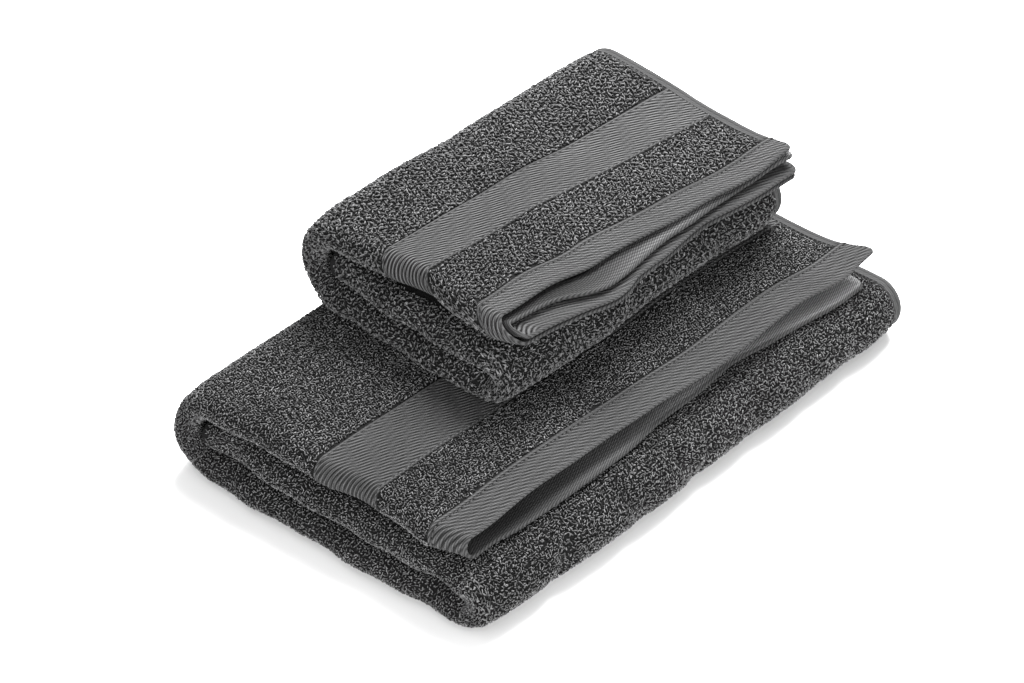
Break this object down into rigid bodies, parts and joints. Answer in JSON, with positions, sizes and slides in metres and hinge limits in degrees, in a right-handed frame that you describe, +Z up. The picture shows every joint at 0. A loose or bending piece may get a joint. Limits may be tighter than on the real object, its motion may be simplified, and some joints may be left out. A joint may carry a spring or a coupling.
{
  "type": "bath towel set",
  "caption": "Two folded terry towels: a bath towel pack with a smaller hand towel pack stacked on it, each with a flat woven border band and stitched hems",
  "frame": {"origin": "middle of the overall footprint, on the resting face", "axes": "+X along the packs' long side, from the lengthwise folds to the open side hems; +Y from the stitched end hems to the rolled back fold; +Z up"},
  "size_m": [0.3802, 0.2588, 0.1053],
  "materials": {
    "terry_cloth": "charcoal grey cotton terry, looped both sides, flat woven border and hems",
    "sewing_thread": "charcoal grey sewing thread"
  },
  "bodies": {
    "bath_towel": {"bath_towel_cloth": "terry_cloth", "bath_towel_outer_end_thread": "sewing_thread", "bath_towel_inner_end_thread": "sewing_thread", "bath_towel_upper_side_thread": "sewing_thread", "bath_towel_lower_side_thread": "sewing_thread"},
    "hand_towel": {"hand_towel_cloth": "terry_cloth", "hand_towel_outer_end_thread": "sewing_thread", "hand_towel_inner_end_thread": "sewing_thread", "hand_towel_upper_side_thread": "sewing_thread", "hand_towel_lower_side_thread": "sewing_thread"}
  },
  "joints": [
    {"name": "hand_towel_lift", "type": "slide", "parent": "bath_towel", "child": "hand_towel", "axis": [0, 0, 1], "range_m": [0, 0.15]}
  ]
}
